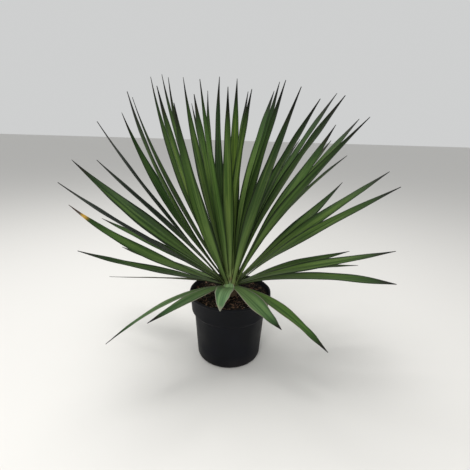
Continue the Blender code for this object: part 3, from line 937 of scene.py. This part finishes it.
def bark_material(kind, deep, light):
    shader = Shader(f"bark_{kind}", BARK_ROUGHNESS)
    grain = shader.pattern(shader.position(), BARK_GRAIN)
    each = shader.split(shader.attribute("shade"))[0]
    colour = shader.mix(each, deep, light)
    colour = shader.cover(colour, deep, grain, BARK_GRAIN_RAMP)
    shader.set("Base Color", colour)
    shader.set("Specular IOR Level", BARK_SPECULAR)
    shader.set("Normal", shader.bump(grain, *BARK_BUMP))
    return shader.material


def lump_cage(detail):
    """Points and faces of a plain round lump, for the bark to be shaped from."""
    shape = bmesh.new()
    bmesh.ops.create_icosphere(shape, subdivisions=detail, radius=0.5)
    shape.verts.index_update()
    points = np.array([vertex.co[:] for vertex in shape.verts])
    faces = np.array([[vertex.index for vertex in face.verts] for face in shape.faces])
    shape.free()
    return points, faces


def scatter_bark(bark, material):
    """Loose bits of bark on the bed: each a lump pulled long and flat, rough all over, at its own angle."""
    chance = random.Random(bark.seed)
    cage, cage_faces = lump_cage(bark.detail)
    box = BARK_BOX_HALF / np.abs(cage).max(axis=1, keepdims=True) * BARK_BOX_PART
    limit = MOUTH_RADIUS - BARK_EDGE_GAP
    points, faces, shades = [], [], []
    for _ in range(bark.count):
        radius = limit * chance.uniform(BARK_INNERMOST, 1.0) ** 0.5
        turn = chance.uniform(0, 2 * pi)
        x, y = radius * cos(turn), radius * sin(turn)
        if radius < STEM_RADIUS + BARK_STEM_GAP:
            continue
        size = bark.longest * chance.uniform(BARK_SMALLEST, 1.0) ** BARK_SIZE_POWER
        width = chance.uniform(bark.slim, 2 * bark.slim)
        thickness = chance.uniform(BARK_FLATTEST * bark.slim, bark.slim)
        sides = np.array((1.0, width, thickness)) * size
        shift = Vector((chance.uniform(0, NOISE_RANGE), chance.uniform(0, NOISE_RANGE), 0))
        rough = np.array([noise.noise(Vector(point) * BARK_ROUGH_SCALE + shift) for point in cage])[:, None]
        spin = Matrix.Rotation(chance.uniform(0, 2 * pi), 3, "Z")
        lean = Matrix.Rotation(chance.gauss(0, BARK_LEAN), 3, "X")
        tilt = lean @ Matrix.Rotation(chance.gauss(0, BARK_TILT), 3, "Y")
        lump = cage * (BARK_ROUND_PART + box + BARK_ROUGH_PART * rough) * sides
        height = soil_level(x, y) + sides[2] * chance.uniform(0.0, BARK_PROUD)
        faces.append(cage_faces + len(points) * len(cage))
        points.append(lump @ np.array(spin @ tilt).T + (x, y, height))
        shades += [(chance.random() ** SHADE_POWER, 0, 0)] * len(cage)
    mesh = bpy.data.meshes.new(bark.name)
    mesh.from_pydata(np.vstack(points).tolist(), [], np.vstack(faces).tolist())
    vector_attribute(mesh, "shade", shades)
    add_piece(bark.name, mesh, material)
    mesh.set_sharp_from_angle(angle=BARK_SHARP_ANGLE)


def make_bark():
    materials = {kind: bark_material(kind, *colours) for kind, colours in BARK_COLOURS.items()}
    for bark in BARKS:
        scatter_bark(bark, materials[bark.kind])


# Stem and crown

def stem_material():
    shader = Shader("stem_fibre", STEM_ROUGHNESS)
    place = shader.position()
    height = shader.split(place)[2]
    fibre = shader.pattern(place, STEM_FIBRES)
    colour = shader.mix(fibre, STEM_DARK, STEM_LIGHT)
    colour = shader.cover(colour, STEM_SHADE, shader.pattern(place, STEM_CLOUD), STEM_SHADE_RAMP)
    colour = shader.cover(colour, STEM_GREEN, height, STEM_GREEN_HEIGHTS)
    shader.set("Base Color", colour)
    shader.set("Normal", shader.bump(fibre, *STEM_BUMP))
    return shader.material


def make_stem():
    """The stem inside the rosette: rings of old leaf scars below, a smooth crown above."""
    points = []
    for ring in range(STEM_RINGS):
        height = STEM_LOW.z + (STEM_HIGH.z - STEM_LOW.z) * (ring / STEM_RINGS)
        dome = max(height - (STEM_HIGH.z - DOME_HEIGHT), 0.0) / DOME_HEIGHT
        radius = (STEM_RADIUS - STEM_INSET) * (1 - dome**2) ** 0.5
        for step in range(STEM_STEPS):
            turn = 2 * pi * step / STEM_STEPS
            wave = sin(2 * pi * height / SCAR_PITCH + SCAR_WAVES * sin(SCAR_WAVES * turn))
            rough = noise.noise(Vector((cos(turn), sin(turn), height * STEM_LUMPS_UP)) * STEM_LUMP_SCALE)
            scar = SCAR_DEPTH * wave * (1 - dome)
            lump = STEM_BARK * rough * (1 - dome)
            reach = radius + scar + lump - STEM_BARK
            points.append((reach * cos(turn), reach * sin(turn), height))
    points.append((0.0, 0.0, STEM_HIGH.z))
    faces = [(a, d, c, b) for a, b, c, d in ring_quads(STEM_RINGS, STEM_STEPS)]
    last = (STEM_RINGS - 1) * STEM_STEPS
    top = STEM_RINGS * STEM_STEPS
    faces += [(last + step, last + (step + 1) % STEM_STEPS, top) for step in range(STEM_STEPS)]
    faces.append(tuple(reversed(range(STEM_STEPS))))
    mesh = bpy.data.meshes.new("stem_crown")
    mesh.from_pydata(points, [], faces)
    add_piece("stem_crown", mesh, stem_material(), ("stem",))


# Floor, light and camera

def make_floor():
    bpy.ops.mesh.primitive_plane_add(size=FLOOR_SIDE, location=(0.0, 0.0, 0.0))
    floor = bpy.context.object
    floor.name = "floor"
    shader = Shader("floor", FLOOR_ROUGHNESS)
    shader.set("Base Color", FLOOR_COLOUR)
    shader.set("Specular IOR Level", FLOOR_SPECULAR)
    floor.data.materials.append(shader.material)


def add_lamp(lamp):
    light = bpy.data.lights.new(lamp.name, "AREA")
    light.shape = "DISK"
    light.size = lamp.size
    light.energy = lamp.power
    light.color = LAMP_COLOUR
    holder = bpy.data.objects.new(lamp.name, light)
    holder.location = lamp.place
    holder.rotation_euler = (Vector(lamp.target) - Vector(lamp.place)).to_track_quat("-Z", "Y").to_euler()
    bpy.context.scene.collection.objects.link(holder)


def make_lights():
    world = bpy.data.worlds.new("studio")
    world.use_nodes = True
    background = world.node_tree.nodes["Background"]
    background.inputs["Color"].default_value = SKY_COLOUR
    background.inputs["Strength"].default_value = SKY_STRENGTH
    bpy.context.scene.world = world
    bpy.context.scene.view_settings.view_transform = "Standard"
    for lamp in LAMPS:
        add_lamp(lamp)


def make_camera():
    data = bpy.data.cameras.new("camera")
    data.sensor_width = SENSOR_WIDTH
    data.lens = FOCAL_PIXELS / PICTURE_SIDE * SENSOR_WIDTH
    camera = bpy.data.objects.new("camera", data)
    ahead = Vector((
        sin(CAMERA_YAW) * cos(CAMERA_PITCH), cos(CAMERA_YAW) * cos(CAMERA_PITCH), -sin(CAMERA_PITCH)
    ))
    level = Vector((cos(CAMERA_YAW), -sin(CAMERA_YAW), 0.0))
    above = level.cross(ahead)
    right = level * cos(CAMERA_ROLL) + above * sin(CAMERA_ROLL)
    up = above * cos(CAMERA_ROLL) - level * sin(CAMERA_ROLL)
    turned = Matrix((right, up, -ahead)).transposed().to_4x4()
    camera.matrix_world = Matrix.Translation(CAMERA_PLACE) @ turned
    bpy.context.scene.collection.objects.link(camera)
    bpy.context.scene.camera = camera


make_camera()
make_floor()
make_lights()
make_pot()
make_soil()
make_bark()
make_stem()
make_leaves()
